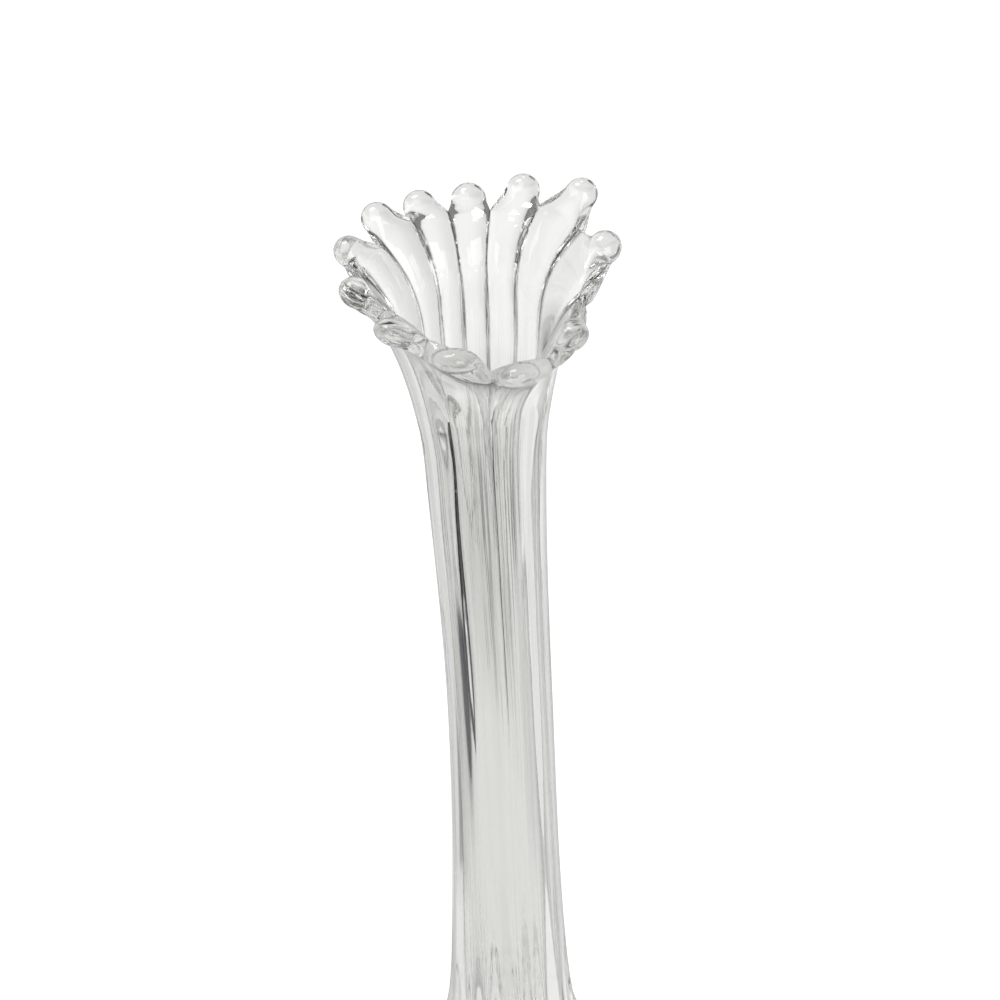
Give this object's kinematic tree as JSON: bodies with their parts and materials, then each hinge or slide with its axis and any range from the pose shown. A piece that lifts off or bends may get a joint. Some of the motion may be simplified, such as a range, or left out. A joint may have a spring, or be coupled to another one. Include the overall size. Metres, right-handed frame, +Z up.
{
  "type": "swung glass vase",
  "caption": "Tall clear glass vase on a round foot, with a long fluted shaft and a flared mouth edged with rounded fingers of glass.",
  "frame": {"origin": "on the table, under the centre of the foot", "axes": "+Z up along the shaft, +Y towards the back of the vase, whose mouth is highest at the back right"},
  "size_m": [0.115, 0.1163, 0.5583],
  "materials": {
    "clear_glass": "fire polished"
  },
  "bodies": {
    "root": {"foot": "clear_glass", "lower_body": "clear_glass", "shaft": "clear_glass", "throat": "clear_glass", "fingered_mouth": "clear_glass"}
  },
  "joints": []
}
